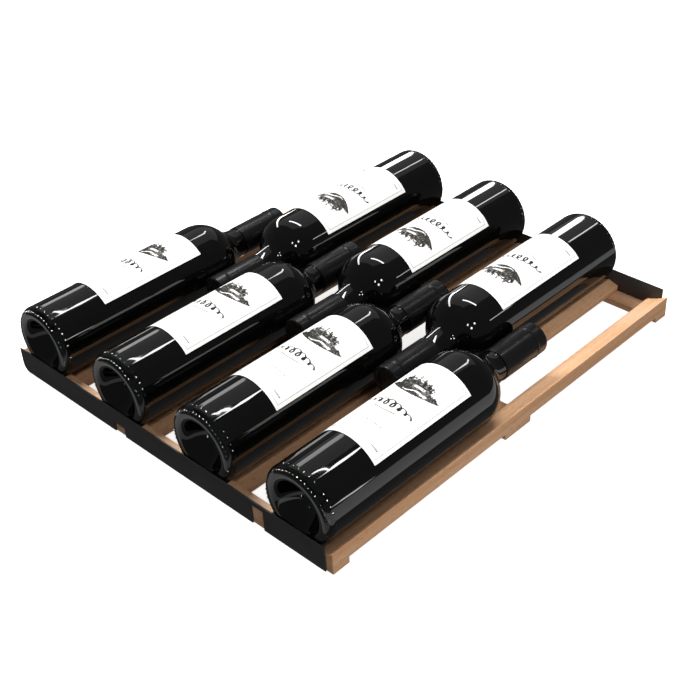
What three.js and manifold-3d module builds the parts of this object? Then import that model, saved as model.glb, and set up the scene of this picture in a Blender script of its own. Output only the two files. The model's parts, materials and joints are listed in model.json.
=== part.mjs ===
// A pull-out beech shelf for a wine cooler, loaded with seven Bordeaux bottles:
// four at the front with their bases forward, three at the back lying the other way.
// Millimetres, +Z up, the front of the shelf towards -Y.

import * as THREE from 'three';
import Module from 'manifold-3d';

const manifoldModule = await Module();
manifoldModule.setup();
const { Manifold, Mesh: ManifoldMesh } = manifoldModule;

// ---------------------------------------------------------------- driving dimensions

const GAP = 0.1; // clearance left between pieces that touch

const BOTTLE = { radius: 37.5, length: 308, wall: 3.2, frontCount: 4, rearCount: 3 };

const BAR = { count: 8, pitch: 57.25, width: 22, underside: 6.5, lip: 12.4 };
const CRADLE_RADIUS = 70; // the concave cut shared by neighbouring bars

const TRIM = { thickness: 1.5, height: 25.5, rightInset: 7.4, cornerCut: 8 };
const FRONT_BOARD = { thickness: 7.6, height: 22.5, scallopClearance: 0.5 };
const REAR_STOP = { thickness: 1.5, top: 28, endInset: 6.5 };

const FRAME_DEPTH = 479.6; // from the trim's front face to the bars' rear ends
const SLAT_THICKNESS = BAR.underside - GAP;
const FOOT_FRONT = [TRIM.thickness + GAP, 20.4];
const FOOT_MIDDLE = [219.8, 256.2];
const FOOT_REAR = [461.5, FRAME_DEPTH];

const STOP_SCREW = { shaft: 1.6, clearanceHole: 2, length: 14, headRadius: 3.5, headHeight: 1.8 };

// ---------------------------------------------------------------- worked-out dimensions

const SHELF_WIDTH = (BAR.count - 1) * BAR.pitch + BAR.width;
const HALF_WIDTH = SHELF_WIDTH / 2;
const BOTTLE_PITCH = 2 * BAR.pitch;

// A bottle lies on the lips of two neighbouring bars, half a pitch either side of its axis.
const LIP_OFFSET = (BAR.pitch - BAR.width) / 2;
const BOTTLE_AXIS_Z = BAR.lip + Math.sqrt(BOTTLE.radius ** 2 - LIP_OFFSET ** 2) + GAP;
const CRADLE_CENTRE_Z = BAR.lip + Math.sqrt(CRADLE_RADIUS ** 2 - LIP_OFFSET ** 2);

const FRAME_FRONT = TRIM.thickness + GAP;
const BOARD_REAR = FRAME_FRONT + FRONT_BOARD.thickness;
const FRONT_BASE_Y = TRIM.thickness + 3 * GAP;
const STOP_FRONT = FRAME_DEPTH + GAP;
const REAR_BASE_Y = STOP_FRONT - 3 * GAP;
const TOTAL_DEPTH = STOP_FRONT + REAR_STOP.thickness + STOP_SCREW.headHeight;

const barCentreX = (index) => -HALF_WIDTH + BAR.width / 2 + index * BAR.pitch;
const cradleCentreX = (index) => barCentreX(index) + BAR.pitch / 2;
const cradleHeight = (offset) => CRADLE_CENTRE_Z - Math.sqrt(CRADLE_RADIUS ** 2 - offset ** 2);

// ---------------------------------------------------------------- materials

const material = (color, roughness, metalness = 0) =>
  new THREE.MeshStandardMaterial({ color, roughness, metalness });

const MATERIALS = {
  beech: material(0xb88c66, 0.55),
  blackMetal: material(0x242424, 0.45, 0.4),
  zincScrew: material(0xb9bcc0, 0.35, 0.9),
  darkGlass: material(0x0a0b0a, 0.08),
  wine: material(0x2a0508, 0.3),
  cork: material(0xb98f5e, 0.8),
  capsule: material(0x1d1d1f, 0.4),
  label: material(0xf1f1ef, 0.7),
};

// ---------------------------------------------------------------- geometry helpers

// Extrudes an outline drawn in X and Z along +Y, from y = 0 to y = depth.
function extrudeAlongY(outline, depth, curveSegments = 8) {
  const geometry = new THREE.ExtrudeGeometry(outline, { depth, bevelEnabled: false, curveSegments });
  geometry.rotateX(Math.PI / 2);
  geometry.translate(0, depth, 0);
  return geometry;
}

function box(low, high) {
  const size = high.map((value, axis) => value - low[axis]);
  const geometry = new THREE.BoxGeometry(...size);
  geometry.translate(...low.map((value, axis) => value + size[axis] / 2));
  return geometry;
}

// A cylinder whose axis runs along Y, between two y values.
function cylinderAlongY(radius, yLow, yHigh, x, z, segments = 48) {
  const geometry = new THREE.CylinderGeometry(radius, radius, yHigh - yLow, segments);
  geometry.translate(x, (yLow + yHigh) / 2, z);
  return geometry;
}

function outlineFromPoints(points) {
  return new THREE.Shape(points.map(([x, z]) => new THREE.Vector2(x, z)));
}

// Points on a circular arc in the profile plane, both ends included.
function arcPoints([centreX, centreY], radius, startDegrees, endDegrees, steps) {
  return Array.from({ length: steps + 1 }, (_, step) => {
    const degrees = startDegrees + ((endDegrees - startDegrees) * step) / steps;
    const angle = THREE.MathUtils.degToRad(degrees);
    return [centreX + radius * Math.cos(angle), centreY + radius * Math.sin(angle)];
  });
}

function lathe(profile, segments = 24) {
  return new THREE.LatheGeometry(profile.map(([r, y]) => new THREE.Vector2(r, y)), segments);
}

function toManifold(geometry) {
  const position = geometry.getAttribute('position');
  const index = geometry.index
    ? Uint32Array.from(geometry.index.array)
    : Uint32Array.from({ length: position.count }, (_, i) => i);
  const mesh = new ManifoldMesh({
    numProp: 3,
    vertProperties: Float32Array.from(position.array),
    triVerts: index,
  });
  mesh.merge();
  return new Manifold(mesh);
}

function fromManifold(solid) {
  const mesh = solid.getMesh();
  const geometry = new THREE.BufferGeometry();
  geometry.setAttribute('position', new THREE.BufferAttribute(mesh.vertProperties, 3));
  geometry.setIndex(new THREE.BufferAttribute(mesh.triVerts, 1));
  geometry.computeVertexNormals();
  return geometry;
}

function cut(base, tools) {
  const result = tools.reduce((solid, tool) => solid.subtract(toManifold(tool)), toManifold(base));
  return fromManifold(result);
}

function addPiece(parent, name, geometry, pieceMaterial) {
  const mesh = new THREE.Mesh(geometry, pieceMaterial);
  mesh.name = name;
  parent.add(mesh);
  return mesh;
}

// ---------------------------------------------------------------- wooden frame

// Cross-section points of one side of a cradle cut, from one offset to another, at a bar.
function cradlePoints(centreX, towards, fromOffset, toOffset, steps) {
  return Array.from({ length: steps + 1 }, (_, step) => {
    const offset = fromOffset + ((toOffset - fromOffset) * step) / steps;
    return [centreX + towards * offset, cradleHeight(offset)];
  });
}

// A support bar: concave on both sides, meeting in a low ridge along its middle.
function supportBar(index) {
  const centre = barCentreX(index);
  const half = BAR.width / 2;
  const cradleToLeft = centre - BAR.pitch / 2;
  const cradleToRight = centre + BAR.pitch / 2;
  const leftSlope = cradlePoints(cradleToLeft, 1, LIP_OFFSET, BAR.pitch / 2, 3);
  const rightSlope = cradlePoints(cradleToRight, -1, BAR.pitch / 2, LIP_OFFSET, 3).slice(1);
  const outline = outlineFromPoints([
    [centre + half, BAR.underside],
    ...[...leftSlope, ...rightSlope].reverse(),
    [centre - half, BAR.underside],
  ]);
  const length = FRAME_DEPTH - BOARD_REAR - GAP;
  const geometry = extrudeAlongY(outline, length);
  geometry.translate(0, BOARD_REAR + GAP, 0);
  return geometry;
}

// A side rail: its concave inner face rises to a crest at the outside, and it stands on feet.
function sideRail(side) {
  const outer = side * HALF_WIDTH;
  const inner = side * (HALF_WIDTH - BAR.width);
  const cradle = side * (HALF_WIDTH - BAR.width - LIP_OFFSET);
  const slope = cradlePoints(cradle, side, LIP_OFFSET, LIP_OFFSET + BAR.width, 6);
  const outline = outlineFromPoints([[outer, 0], [inner, 0], ...slope]);
  const rail = extrudeAlongY(outline, FRAME_DEPTH - FRAME_FRONT);
  rail.translate(0, FRAME_FRONT, 0);
  const recess = (start, end) => box([-SHELF_WIDTH, start, -1], [SHELF_WIDTH, end, BAR.underside]);
  return cut(rail, [recess(FOOT_FRONT[1], FOOT_MIDDLE[0]), recess(FOOT_MIDDLE[1], FOOT_REAR[0])]);
}

function crossSlat([start, end]) {
  const reach = HALF_WIDTH - BAR.width - GAP;
  return box([-reach, start, 0], [reach, end, SLAT_THICKNESS]);
}

// The wooden board behind the trim, scalloped round the front bottles.
function frontBoard() {
  const reach = HALF_WIDTH - BAR.width - GAP;
  const board = box([-reach, FRAME_FRONT, 0], [reach, BOARD_REAR, FRONT_BOARD.height]);
  const scallopRadius = BOTTLE.radius + FRONT_BOARD.scallopClearance;
  const scallops = frontBottlePlaces().map(({ x }) =>
    cylinderAlongY(scallopRadius, FRAME_FRONT - 1, BOARD_REAR + 1, x, BOTTLE_AXIS_Z));
  return cut(board, scallops);
}

// ---------------------------------------------------------------- black metal pieces

// The flat front trim, with a cut lower left corner and two notches in its lower edge.
function frontTrim() {
  const left = -HALF_WIDTH;
  const right = HALF_WIDTH - TRIM.rightInset;
  const notches = [
    { left: HALF_WIDTH - 276.5, width: 14.5, top: 10 },
    { left: HALF_WIDTH - 92, width: 14, top: 20.5 },
  ];
  const lowerEdge = notches.flatMap((notch) => [
    [notch.left, 0],
    [notch.left, notch.top],
    [notch.left + notch.width, notch.top],
    [notch.left + notch.width, 0],
  ]);
  const corner = arcPoints([left + TRIM.cornerCut, TRIM.cornerCut], TRIM.cornerCut, 180, 270, 4);
  const outline = outlineFromPoints([
    ...corner, ...lowerEdge, [right, 0], [right, TRIM.height], [left, TRIM.height],
  ]);
  return extrudeAlongY(outline, TRIM.thickness);
}

const stopScrewPlaces = [-0.4, -0.13, 0.13, 0.4].map((fraction) => fraction * SHELF_WIDTH);
const STOP_SCREW_Z = SLAT_THICKNESS / 2 + 1.4;

// The upright plate behind the bars that the rear bottles' bases rest against.
function rearStop() {
  const reach = HALF_WIDTH - REAR_STOP.endInset;
  const end = STOP_FRONT + REAR_STOP.thickness;
  const plate = box([-reach, STOP_FRONT, 0], [reach, end, REAR_STOP.top]);
  const holes = stopScrewPlaces.map((x) =>
    cylinderAlongY(STOP_SCREW.clearanceHole, STOP_FRONT - 1, end + 1, x, STOP_SCREW_Z, 12));
  return cut(plate, holes);
}

function rearSlat() {
  const pilotHoles = stopScrewPlaces.map((x) =>
    cylinderAlongY(STOP_SCREW.shaft + GAP, FOOT_REAR[1] - STOP_SCREW.length, FOOT_REAR[1] + 1, x,
      STOP_SCREW_Z, 12));
  return cut(crossSlat(FOOT_REAR), pilotHoles);
}

// A pan-head screw pointing forwards, its head on the back of the stop plate.
function stopScrew() {
  const { shaft, length, headRadius, headHeight } = STOP_SCREW;
  const tip = REAR_STOP.thickness + length - 2;
  return lathe([
    [0, -tip],
    [shaft, -tip + 2],
    [shaft, GAP / 2],
    [headRadius, GAP / 2],
    [headRadius, headHeight * 0.55],
    [headRadius * 0.6, headHeight],
    [0, headHeight],
  ], 12);
}

// ---------------------------------------------------------------- bottle

const NECK_RADIUS = 14.4;
const BORE_RADIUS = 9.5;
const BODY_END = 200;
const SHOULDER_RADIUS = 33;
const CAPSULE_START = 250;
const CORK_LENGTH = 45;
const PUNT_DEPTH = 22;
const CORK_END = BOTTLE.length - 2;

// Radius and distance from the base, from the middle of the punt out and up to the mouth.
function outerProfile() {
  const { radius, length } = BOTTLE;
  const heel = arcPoints([radius - 7, 7], 7, -78, 0, 3);
  const shoulder = arcPoints([radius - SHOULDER_RADIUS, BODY_END], SHOULDER_RADIUS, 0, 56, 4);
  return [
    [0, PUNT_DEPTH],
    [11, PUNT_DEPTH - 3],
    [21, 7],
    [26.5, 0.4],
    ...heel,
    ...shoulder,
    [17, 238],
    [NECK_RADIUS + 0.5, 250],
    [NECK_RADIUS, length - 22],
    [NECK_RADIUS, length - 0.8],
    [NECK_RADIUS - 0.8, length],
  ];
}

// The same way back down the inside, from the mouth to the top of the punt.
function innerProfile() {
  const { radius, length, wall } = BOTTLE;
  const innerRadius = radius - wall;
  return [
    [BORE_RADIUS, length],
    [BORE_RADIUS, 247],
    ...arcPoints([radius - SHOULDER_RADIUS, BODY_END], SHOULDER_RADIUS - wall, 56, 0, 3),
    [innerRadius, 12],
    [innerRadius - 6, 6.5],
    [22, 10.5],
    [10, PUNT_DEPTH + 2.5],
    [0, PUNT_DEPTH + 3.5],
  ];
}

// Where a profile, listed with its distances rising, reaches a given distance from the base.
function radiusAt(profile, distance) {
  const next = profile.findIndex(([, y]) => y > distance);
  const [[r0, y0], [r1, y1]] = [profile[next - 1], profile[next]];
  return r0 + ((r1 - r0) * (distance - y0)) / (y1 - y0);
}

// The blown bottle is one piece of glass. It is cut at the root of the neck, so that each
// part is close to convex and its collision hull follows it.
const NECK_ROOT = 232;

function bottleBody() {
  const outer = outerProfile();
  const inner = innerProfile();
  const outerRadius = radiusAt(outer.slice(4), NECK_ROOT);
  const innerRadius = radiusAt([...inner].reverse(), NECK_ROOT);
  return lathe([
    ...outer.filter(([, y]) => y < NECK_ROOT),
    [outerRadius, NECK_ROOT],
    [innerRadius, NECK_ROOT],
    ...inner.filter(([, y]) => y < NECK_ROOT),
  ]);
}

function bottleNeck() {
  const outer = outerProfile();
  const inner = innerProfile();
  const start = NECK_ROOT + GAP;
  const mouthDown = inner.filter(([, y]) => y > start);
  const root = [radiusAt([...inner].reverse(), start), start];
  return lathe([
    root,
    [radiusAt(outer.slice(4), start), start],
    ...outer.filter(([, y]) => y > start),
    ...mouthDown,
    root,
  ]);
}

// The wine fills the inside up to just below the cork, clear of the glass all round.
function wine() {
  const clearance = 0.4;
  const inside = innerProfile().slice(2).reverse();
  const shrunk = inside.map(([r, y], index) => {
    const onFloor = index < 4;
    return onFloor ? [r, y + 2 * clearance] : [r - clearance, y];
  });
  const neckRadius = BORE_RADIUS - clearance;
  const fillHeight = CORK_END - CORK_LENGTH - 8;
  return lathe([...shrunk, [neckRadius, 247.5], [neckRadius, fillHeight], [0, fillHeight]], 16);
}

function cork() {
  const radius = BORE_RADIUS - GAP;
  return lathe([[0, CORK_END - CORK_LENGTH], [radius, CORK_END - CORK_LENGTH], [radius, CORK_END],
    [0, CORK_END]]);
}

// The shrink capsule is a thin cup over the neck, with a closed end beyond the mouth.
function capsule() {
  const inner = NECK_RADIUS + 0.6 + GAP;
  const wall = 0.5;
  const end = BOTTLE.length + 2 * GAP;
  return lathe([
    [0, end],
    [inner, end],
    [inner, CAPSULE_START],
    [inner + wall, CAPSULE_START],
    [inner + wall, end - 1.5],
    [inner + wall - 1.5, end + wall],
    [0, end + wall],
  ]);
}

const LABEL = { start: 60.5, length: 119, halfAngle: 53, thickness: 0.25, steps: 12 };

// The paper label hugs the body over part of its circumference. Its inner face is a row of
// flats, so they stand off far enough for their middles to clear the round glass.
function label(rollDegrees) {
  const halfStep = THREE.MathUtils.degToRad(LABEL.halfAngle / LABEL.steps);
  const inner = (BOTTLE.radius + GAP / 2) / Math.cos(halfStep);
  const start = 90 - rollDegrees - LABEL.halfAngle;
  const end = 90 - rollDegrees + LABEL.halfAngle;
  const outline = outlineFromPoints([
    ...arcPoints([0, 0], inner + LABEL.thickness, start, end, LABEL.steps),
    ...arcPoints([0, 0], inner, end, start, LABEL.steps),
  ]);
  const geometry = extrudeAlongY(outline, LABEL.length);
  geometry.translate(0, LABEL.start, 0);
  return geometry;
}

// ---------------------------------------------------------------- where the bottles lie

// The front bottles take every other cradle from the left, the rear ones those between.
function frontBottlePlaces() {
  const rolls = [-9, -1, 6, 0.5];
  return rolls.map((roll, index) => ({
    name: `front_bottle_${index + 1}`,
    x: cradleCentreX(2 * index),
    roll,
  }));
}

function rearBottlePlaces() {
  const rolls = [-5, -6, 2];
  return rolls.map((roll, index) => ({
    name: `rear_bottle_${index + 1}`,
    x: cradleCentreX(2 * index + 1),
    roll,
  }));
}

function bottle({ name, x, roll }, baseY, pointsBackwards) {
  const group = new THREE.Group();
  addPiece(group, `${name}_glass_body`, bottleBody(), MATERIALS.darkGlass);
  addPiece(group, `${name}_glass_neck`, bottleNeck(), MATERIALS.darkGlass);
  addPiece(group, `${name}_wine`, wine(), MATERIALS.wine);
  addPiece(group, `${name}_cork`, cork(), MATERIALS.cork);
  addPiece(group, `${name}_capsule`, capsule(), MATERIALS.capsule);
  addPiece(group, `${name}_label`, label(roll), MATERIALS.label);
  group.position.set(x, baseY, BOTTLE_AXIS_Z);
  group.rotation.z = pointsBackwards ? 0 : Math.PI;
  return group;
}

// ---------------------------------------------------------------- assembly

function buildFrame(parent) {
  addPiece(parent, 'left_side_rail', sideRail(-1), MATERIALS.beech);
  addPiece(parent, 'right_side_rail', sideRail(1), MATERIALS.beech);
  for (let index = 1; index < BAR.count - 1; index += 1) {
    addPiece(parent, `support_bar_${index}`, supportBar(index), MATERIALS.beech);
  }
  addPiece(parent, 'front_cross_slat', crossSlat([BOARD_REAR + GAP, FOOT_FRONT[1]]), MATERIALS.beech);
  addPiece(parent, 'middle_cross_slat', crossSlat(FOOT_MIDDLE), MATERIALS.beech);
  addPiece(parent, 'rear_cross_slat', rearSlat(), MATERIALS.beech);
  addPiece(parent, 'front_board', frontBoard(), MATERIALS.beech);
  addPiece(parent, 'front_trim', frontTrim(), MATERIALS.blackMetal);
  addPiece(parent, 'rear_stop', rearStop(), MATERIALS.blackMetal);
  stopScrewPlaces.forEach((x, index) => {
    const screw = addPiece(parent, `rear_stop_screw_${index + 1}`, stopScrew(), MATERIALS.zincScrew);
    screw.position.set(x, STOP_FRONT + REAR_STOP.thickness, STOP_SCREW_Z);
  });
}

function buildBottles(parent) {
  frontBottlePlaces().forEach((place) => parent.add(bottle(place, FRONT_BASE_Y, true)));
  rearBottlePlaces().forEach((place) => parent.add(bottle(place, REAR_BASE_Y, false)));
}

const shelf = new THREE.Group();
shelf.name = 'loaded_wine_shelf';
buildFrame(shelf);
buildBottles(shelf);
shelf.position.y = -TOTAL_DEPTH / 2;

export default shelf;
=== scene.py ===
"""The looks of a loaded wine cooler shelf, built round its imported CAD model.

A slatted beech shelf with a black front trim and rear stop carries seven Bordeaux bottles,
four with their bases forward and three between them the other way round. The wood and the
metal are milled copies of the CAD pieces with eased edges. The bottles, capsules and labels
are turned and bent afresh, so that they are round where the CAD is faceted.
"""

import json
import math
import random

import bpy
from bpy.props import FloatProperty, FloatVectorProperty, IntProperty, PointerProperty
from mathutils import Matrix, Vector

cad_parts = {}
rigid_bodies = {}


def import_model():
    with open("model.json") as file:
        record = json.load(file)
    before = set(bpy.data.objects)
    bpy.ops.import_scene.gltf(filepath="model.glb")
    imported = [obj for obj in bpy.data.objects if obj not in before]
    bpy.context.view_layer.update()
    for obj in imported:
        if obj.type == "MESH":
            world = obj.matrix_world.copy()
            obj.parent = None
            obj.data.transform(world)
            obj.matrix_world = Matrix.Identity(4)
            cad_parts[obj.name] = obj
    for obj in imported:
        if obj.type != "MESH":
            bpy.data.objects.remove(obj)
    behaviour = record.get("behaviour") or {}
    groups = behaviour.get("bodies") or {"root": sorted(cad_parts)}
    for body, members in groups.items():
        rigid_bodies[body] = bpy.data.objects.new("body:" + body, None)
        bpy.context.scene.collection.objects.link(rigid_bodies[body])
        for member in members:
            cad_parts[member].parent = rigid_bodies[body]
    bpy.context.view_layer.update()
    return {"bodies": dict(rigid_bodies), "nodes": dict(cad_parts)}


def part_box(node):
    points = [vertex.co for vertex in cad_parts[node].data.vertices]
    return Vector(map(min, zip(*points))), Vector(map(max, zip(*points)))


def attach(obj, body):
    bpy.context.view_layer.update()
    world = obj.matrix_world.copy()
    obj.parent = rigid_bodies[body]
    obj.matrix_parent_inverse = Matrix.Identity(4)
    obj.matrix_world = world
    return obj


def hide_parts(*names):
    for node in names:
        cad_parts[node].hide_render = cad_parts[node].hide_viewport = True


bl_info = {
    "name": "Wine Shelf",
    "version": (1, 0, 0),
    "blender": (4, 5, 0),
    "location": "View3D > Sidebar > Wine Shelf",
    "description": "Builds the bottles, labels and finishes of a loaded wine cooler shelf",
    "category": "Object",
}

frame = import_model()

MM = 0.001
SHELF_BODY = "shelf"
BOTTLES = [body for body in frame["bodies"] if body != SHELF_BODY]


# ------------------------------------------------------------------ colours and small sums


def from_hex(code):
    """A colour written as sRGB hex, as the linear colour that a shader wants."""
    channels = [int(code[i : i + 2], 16) / 255 for i in (1, 3, 5)]
    linear = [c / 12.92 if c <= 0.04045 else ((c + 0.055) / 1.055) ** 2.4 for c in channels]
    return (*linear, 1.0)


def colour_property(name, code, description):
    """A colour setting with a default in sRGB hex."""
    return FloatVectorProperty(
        name=name,
        description=description,
        subtype="COLOR",
        size=4,
        min=0,
        max=1,
        default=from_hex(code),
    )


def length_property(name, millimetres, description):
    """A length setting with a default in millimetres."""
    return FloatProperty(
        name=name, description=description, default=millimetres * MM, unit="LENGTH", min=0
    )


def arc(centre, radius, start, end, steps):
    """Points along an arc, by angle in degrees, both ends included."""
    turns = [math.radians(start + (end - start) * i / steps) for i in range(steps + 1)]
    return [
        (centre[0] + radius * math.cos(turn), centre[1] + radius * math.sin(turn))
        for turn in turns
    ]


def sweep(start, start_pull, end_pull, end, steps):
    """Points along a cubic curve, without its first one."""
    points = []
    for i in range(1, steps + 1):
        t = i / steps
        weights = ((1 - t) ** 3, 3 * t * (1 - t) ** 2, 3 * t * t * (1 - t), t**3)
        corners = (start, start_pull, end_pull, end)
        points.append(tuple(sum(w * c[k] for w, c in zip(weights, corners)) for k in (0, 1)))
    return points


# ------------------------------------------------------------------ settings


class BottleSettings(bpy.types.PropertyGroup):
    """Sizes of the bottles that the CAD model doesn't settle, and how finely they turn."""

    segments: IntProperty(
        name="Segments", description="Faces round each turned piece", default=96, min=24
    )
    heel_knurls: IntProperty(
        name="Heel knurls", description="Raised dots round each bearing ring", default=52, min=0
    )
    heel_dots: IntProperty(
        name="Heel dots", description="Mould code dots round each heel", default=40, min=0
    )
    punt_dots: IntProperty(
        name="Punt dots", description="Raised dots inside each punt", default=7, min=0
    )


class FinishSettings(bpy.types.PropertyGroup):
    """Colours of the finishes, and the easing of machined edges."""

    beech_pale: colour_property("Pale beech", "#D8AD88", "Early wood of the beech")
    beech_dark: colour_property("Dark beech", "#C3946D", "Late wood and broad streaks")
    beech_fleck: colour_property("Beech fleck", "#A0704D", "Ray flecks in the beech")
    coat: colour_property("Black coat", "#323233", "Powder coat of the trim and the stop")
    glass: colour_property("Bottle glass", "#060706", "Dark green bottle glass over red wine")
    foil: colour_property("Capsule", "#141415", "Satin black capsule")
    paper: colour_property("Label paper", "#F3F2F0", "Uncoated label paper")
    ink: colour_property("Printing ink", "#161515", "Ink of the label artwork")
    wash: colour_property("Grey tint", "#6F6D69", "Grey tint behind the engraving")
    wine: colour_property("Wine", "#3A0710", "Red wine inside the bottles")
    cork: colour_property("Cork", "#B98F5E", "Natural cork")
    zinc: colour_property("Zinc", "#B4B8BC", "Plating of the screws")
    wood_edge: length_property("Wood edge", 0.7, "Easing of the wood's long edges")
    metal_edge: length_property("Metal edge", 0.25, "Rounding of the sheet metal's edges")


class StudioSettings(bpy.types.PropertyGroup):
    """The floor, the lights and the camera."""

    floor: colour_property("Floor", "#F2F2F1", "Pale studio floor, lit from below")
    floor_glow: FloatProperty(
        name="Floor glow",
        description="How strongly the floor is lit from below",
        default=0.92,
        min=0,
    )
    lens: FloatProperty(name="Lens", description="Focal length", default=63.56, unit="CAMERA")
    fill: FloatProperty(name="Fill", description="Strength of the pale surroundings", default=0.22)
    left_key: FloatProperty(
        name="Left key", description="Power of the softbox on the left", default=52, unit="POWER"
    )
    right_key: FloatProperty(
        name="Right key", description="Power of the softbox on the right", default=9, unit="POWER"
    )
    right_fill: FloatProperty(
        name="Right fill", description="Power of the low light on the right", default=14, unit="POWER"
    )


# ------------------------------------------------------------------ materials


def add(tree, kind, inputs=None, **settings):
    """Adds a node, makes its settings, and fills or links its inputs."""
    made = tree.nodes.new(kind)
    for name, value in settings.items():
        setattr(made, name, value)
    for name, value in (inputs or {}).items():
        if isinstance(value, bpy.types.NodeSocket):
            tree.links.new(value, made.inputs[name])
        else:
            made.inputs[name].default_value = value
    return made


def new_material(name, **shader):
    """An empty material with one shader on its output; returns it, its tree and the shader."""
    material = bpy.data.materials.new(name)
    material.use_nodes = True
    tree = material.node_tree
    tree.nodes.clear()
    surface = add(tree, "ShaderNodeBsdfPrincipled", shader)
    output = add(tree, "ShaderNodeOutputMaterial")
    tree.links.new(surface.outputs["BSDF"], output.inputs["Surface"])
    material.diffuse_color = shader.get("Base Color", (0.5, 0.5, 0.5, 1))
    return material, tree, surface


def stretched(tree, scale):
    """Object coordinates multiplied on each axis, so that 1 is one grain of the pattern."""
    place_on_object = add(tree, "ShaderNodeTexCoord").outputs["Object"]
    mapping = add(tree, "ShaderNodeMapping", {"Vector": place_on_object, "Scale": scale})
    return mapping.outputs["Vector"]


def pattern(tree, vector, low, high, detail=2.0):
    """A noise of scale 1, spread so that low and high become 0 and 1."""
    noise = add(tree, "ShaderNodeTexNoise", {"Vector": vector, "Scale": 1.0, "Detail": detail})
    spread = add(
        tree,
        "ShaderNodeMapRange",
        {"Value": noise.outputs["Fac"], "From Min": low, "From Max": high},
        clamp=True,
    )
    return spread.outputs["Result"]


def even_scale(size):
    """Mapping scale of a pattern whose marks are that many millimetres across all ways."""
    return [1 / (size * MM)] * 3


def mixed(tree, share, first, second):
    """Two colours mixed by a share."""
    mix = add(tree, "ShaderNodeMix", {0: share, 6: first, 7: second}, data_type="RGBA")
    return mix.outputs[2]


def bumped(tree, height, distance, strength=1.0):
    """A bump normal from a height, at most that distance deep in metres."""
    bump = add(
        tree, "ShaderNodeBump", {"Height": height, "Distance": distance, "Strength": strength}
    )
    return bump.outputs["Normal"]


def oiled_beech(name, along):
    """European beech, planed and oiled: pinkish tan, close-grained, with short dark ray
    flecks along the grain, slow pale and dark streaks, and a low sheen."""
    finish = bpy.context.scene.shelf_finish
    material, tree, surface = new_material(name, **{"Base Color": tuple(finish.beech_pale)})

    def grain(width, length):
        """Mapping scale for marks of that width and length in millimetres."""
        return [1 / ((length if axis == along else width) * MM) for axis in "XYZ"]

    streaks = pattern(tree, stretched(tree, grain(9, 260)), 0.35, 0.68)
    lines = pattern(tree, stretched(tree, grain(1.6, 90)), 0.3, 0.75)
    # real ray flecks are 2 mm long and 0.3 mm wide; these are coarser, so that they show
    flecks = pattern(tree, stretched(tree, grain(0.9, 6)), 0.63, 0.74, detail=0)
    base = mixed(tree, streaks, tuple(finish.beech_pale), tuple(finish.beech_dark))
    lined = add(tree, "ShaderNodeMath", {0: lines, 1: 0.35}, operation="MULTIPLY")
    base = mixed(tree, lined.outputs[0], base, tuple(finish.beech_dark))
    flecked = add(tree, "ShaderNodeMath", {0: flecks, 1: 0.5}, operation="MULTIPLY")
    base = mixed(tree, flecked.outputs[0], base, tuple(finish.beech_fleck))
    tree.links.new(base, surface.inputs["Base Color"])
    sheen = add(
        tree, "ShaderNodeMapRange", {"Value": lines, "To Min": 0.42, "To Max": 0.58}
    )
    tree.links.new(sheen.outputs["Result"], surface.inputs["Roughness"])
    tree.links.new(bumped(tree, lines, 0.05 * MM), surface.inputs["Normal"])
    return material


def powder_coated_steel():
    """Satin black powder coat on sheet steel: a soft, broad gloss and a fine orange peel."""
    finish = bpy.context.scene.shelf_finish
    material, tree, surface = new_material(
        "powder_coated_steel", **{"Base Color": tuple(finish.coat), "Roughness": 0.42}
    )
    # orange peel is about 0.5 mm across; drawn at 1.2 mm so that it shows
    peel = pattern(tree, stretched(tree, even_scale(1.2)), 0.3, 0.7)
    cloud = pattern(tree, stretched(tree, even_scale(40)), 0.3, 0.7)
    rough = add(tree, "ShaderNodeMapRange", {"Value": cloud, "To Min": 0.38, "To Max": 0.5})
    tree.links.new(rough.outputs["Result"], surface.inputs["Roughness"])
    tree.links.new(bumped(tree, peel, 0.03 * MM), surface.inputs["Normal"])
    return material


def bottle_glass(name, roughness):
    """Antique green glass, thick and full of red wine, so that it reads as black: a hard,
    clear gloss over faint ripples from the mould. The raised marks are a little duller."""
    finish = bpy.context.scene.shelf_finish
    material, tree, surface = new_material(
        name, **{"Base Color": tuple(finish.glass), "Roughness": roughness, "IOR": 1.52}
    )
    ripple = pattern(tree, stretched(tree, even_scale(26)), 0.2, 0.8, detail=1)
    tree.links.new(bumped(tree, ripple, 0.2 * MM, 0.35), surface.inputs["Normal"])
    return material


def capsule_foil():
    """Heat-shrunk black capsule with a satin print varnish and slight wrinkles."""
    finish = bpy.context.scene.shelf_finish
    material, tree, surface = new_material(
        "satin_black_capsule", **{"Base Color": tuple(finish.foil), "Roughness": 0.3}
    )
    along_neck = [1 / (4 * MM), 1 / (30 * MM), 1 / (4 * MM)]
    wrinkles = pattern(tree, stretched(tree, along_neck), 0.3, 0.7)
    rough = add(tree, "ShaderNodeMapRange", {"Value": wrinkles, "To Min": 0.24, "To Max": 0.36})
    tree.links.new(rough.outputs["Result"], surface.inputs["Roughness"])
    tree.links.new(bumped(tree, wrinkles, 0.03 * MM, 0.5), surface.inputs["Normal"])
    return material


def label_paper():
    """Uncoated label stock: matt and slightly warm, with a faint felt texture."""
    finish = bpy.context.scene.shelf_finish
    material, tree, surface = new_material(
        "uncoated_label_paper", **{"Base Color": tuple(finish.paper), "Roughness": 0.75}
    )
    felt = pattern(tree, stretched(tree, even_scale(0.9)), 0.25, 0.75)
    shade = mixed(tree, felt, tuple(finish.paper), from_hex("#ECEBE8"))
    tree.links.new(shade, surface.inputs["Base Color"])
    tree.links.new(bumped(tree, felt, 0.03 * MM, 0.5), surface.inputs["Normal"])
    return material


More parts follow.
